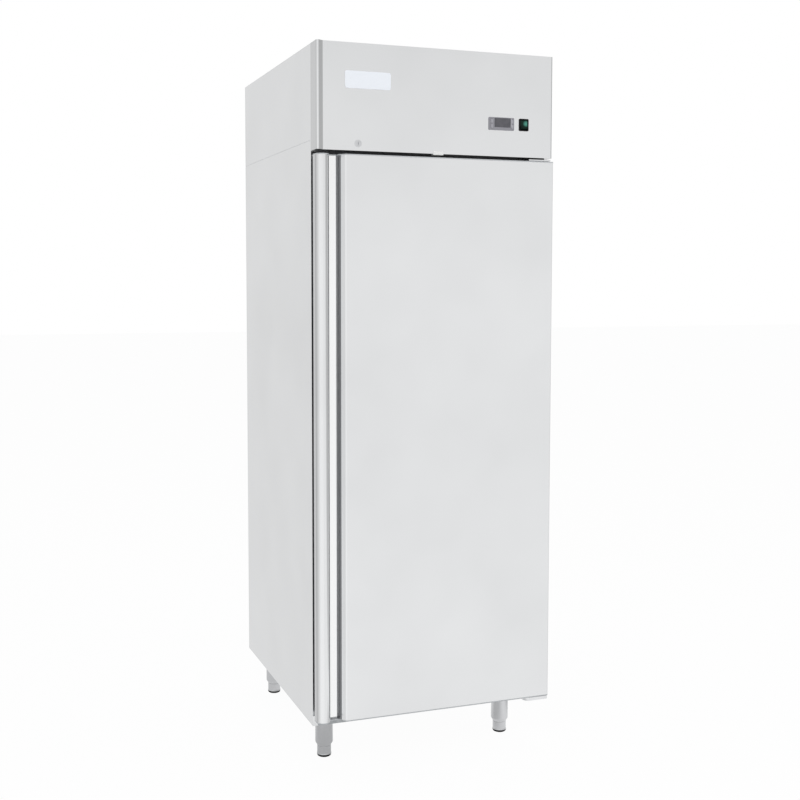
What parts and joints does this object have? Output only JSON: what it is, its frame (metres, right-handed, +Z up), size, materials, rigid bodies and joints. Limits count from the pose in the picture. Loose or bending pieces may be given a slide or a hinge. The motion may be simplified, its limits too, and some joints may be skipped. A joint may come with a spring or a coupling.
{
  "type": "reach-in refrigerator",
  "caption": "Upright commercial refrigerator with a hinged solid door, full-height grip, wire shelves and a machine compartment above, on round legs.",
  "frame": {"origin": "on the floor, under the centre of the cabinet and door", "axes": "+Z up, -Y towards the door, +X towards the hinge side"},
  "size_m": [0.7, 0.812, 2],
  "materials": {
    "steel": "satin stainless sheet",
    "galvanised": "galvanised sheet, matt",
    "foam": "rigid insulating foam",
    "liner": "satin stainless sheet",
    "badge_blank": "smooth blank plate",
    "grey_plastic": "light grey moulding",
    "dark_window": "tinted display window",
    "button_rubber": "soft grey",
    "black_plastic": "black moulding",
    "green_lens": "clear green moulding",
    "chrome_lock": "plated zinc",
    "white_plastic": "white moulding",
    "frame_pvc": "dark extruded profile",
    "grey_cap": "grey moulding",
    "gasket_rubber": "soft extrusion",
    "hinge_steel": "plated steel, satin",
    "leg_steel": "satin stainless tube",
    "rack_steel": "bright drawn wire and sheet",
    "fin_aluminium": "plain fins",
    "cooler_abs": "light grey moulding",
    "motor_metal": "black painted",
    "compressor_paint": "black painted",
    "dark_fins": "dark coated fins",
    "copper": "drawn copper tube",
    "box_plastic": "grey moulding"
  },
  "bodies": {
    "cabinet": {"side_panel_left": "steel", "side_panel_right": "steel", "header_side_left": "steel", "header_side_right": "steel", "header_front": "steel", "header_lid": "steel", "front_frame": "frame_pvc", "back_panel": "galvanised", "bottom_panel": "galvanised", "top_panel": "galvanised", "header_back": "galvanised", "insulation": "foam", "inner_liner": "liner", "drip_tray": "liner", "badge_plate": "badge_blank", "controller_body": "grey_plastic", "controller_window": "dark_window", "switch_frame": "black_plastic", "cable_gland": "black_plastic", "lock_housing": "chrome_lock", "door_sensor": "white_plastic", "drain_pipe": "white_plastic", "interior_lamp": "white_plastic", "top_hinge": "hinge_steel", "bottom_hinge": "hinge_steel", "leg_tubes": "leg_steel", "shelf_uprights": "rack_steel", "shelf_runners": "rack_steel", "shelf_top": "rack_steel", "shelf_middle": "rack_steel", "shelf_bottom": "rack_steel", "evaporator_coil": "fin_aluminium", "evaporator_cover": "cooler_abs", "evaporator_motor": "motor_metal", "condenser_motor": "motor_metal", "compressor": "compressor_paint", "condenser_shroud": "compressor_paint", "condenser_coil": "dark_fins", "pipework": "copper", "filter_drier": "copper", "electrical_box": "box_plastic"},
    "door": {"door_skin": "steel", "door_foam": "foam", "door_liner": "liner", "door_cap_top": "grey_cap", "door_cap_bottom": "grey_cap", "door_gasket": "gasket_rubber", "hinge_bushes": "white_plastic"},
    "lock": {"lock_barrel": "chrome_lock"},
    "rocker": {"rocker": "green_lens"},
    "evaporator_fan": {"evaporator_fan": "black_plastic"},
    "condenser_fan": {"condenser_fan": "black_plastic"},
    "button_set": {"button_set": "button_rubber"},
    "button_light": {"button_light": "button_rubber"},
    "button_up": {"button_up": "button_rubber"},
    "button_down": {"button_down": "button_rubber"},
    "foot_front_left": {"foot_front_left": "leg_steel"},
    "foot_front_right": {"foot_front_right": "leg_steel"},
    "foot_back_left": {"foot_back_left": "leg_steel"},
    "foot_back_right": {"foot_back_right": "leg_steel"}
  },
  "joints": [
    {"name": "door_swing", "type": "hinge", "parent": "cabinet", "child": "door", "pos_m": [0.328, -0.378, 0.933], "axis": [0, 0, 1], "range_deg": [0, 110]},
    {"name": "lock_turn", "type": "hinge", "parent": "cabinet", "child": "lock", "pos_m": [-0.232, -0.393, 1.735], "axis": [0, 1, 0], "range_deg": [0, 90]},
    {"name": "rocker_tilt", "type": "hinge", "parent": "cabinet", "child": "rocker", "pos_m": [0.2595, -0.393, 1.806], "axis": [1, 0, 0], "range_deg": [0, 20]},
    {"name": "evaporator_fan_spin", "type": "hinge", "parent": "cabinet", "child": "evaporator_fan", "pos_m": [0, -0.137, 1.569], "axis": [0, 1, 0], "continuous": true},
    {"name": "condenser_fan_spin", "type": "hinge", "parent": "cabinet", "child": "condenser_fan", "pos_m": [-0.165, -0.18, 1.8545], "axis": [0, 1, 0], "continuous": true},
    {"name": "button_set_press", "type": "slide", "parent": "cabinet", "child": "button_set", "axis": [0, 1, 0], "range_m": [0, 0.0008], "stiffness_N_per_m": 1500},
    {"name": "button_light_press", "type": "slide", "parent": "cabinet", "child": "button_light", "axis": [0, 1, 0], "range_m": [0, 0.0008], "stiffness_N_per_m": 1500},
    {"name": "button_up_press", "type": "slide", "parent": "cabinet", "child": "button_up", "axis": [0, 1, 0], "range_m": [0, 0.0008], "stiffness_N_per_m": 1500},
    {"name": "button_down_press", "type": "slide", "parent": "cabinet", "child": "button_down", "axis": [0, 1, 0], "range_m": [0, 0.0008], "stiffness_N_per_m": 1500},
    {"name": "foot_front_left_adjust", "type": "slide", "parent": "cabinet", "child": "foot_front_left", "axis": [0, 0, -1], "range_m": [0, 0.03]},
    {"name": "foot_front_right_adjust", "type": "slide", "parent": "cabinet", "child": "foot_front_right", "axis": [0, 0, -1], "range_m": [0, 0.03]},
    {"name": "foot_back_left_adjust", "type": "slide", "parent": "cabinet", "child": "foot_back_left", "axis": [0, 0, -1], "range_m": [0, 0.03]},
    {"name": "foot_back_right_adjust", "type": "slide", "parent": "cabinet", "child": "foot_back_right", "axis": [0, 0, -1], "range_m": [0, 0.03]}
  ]
}
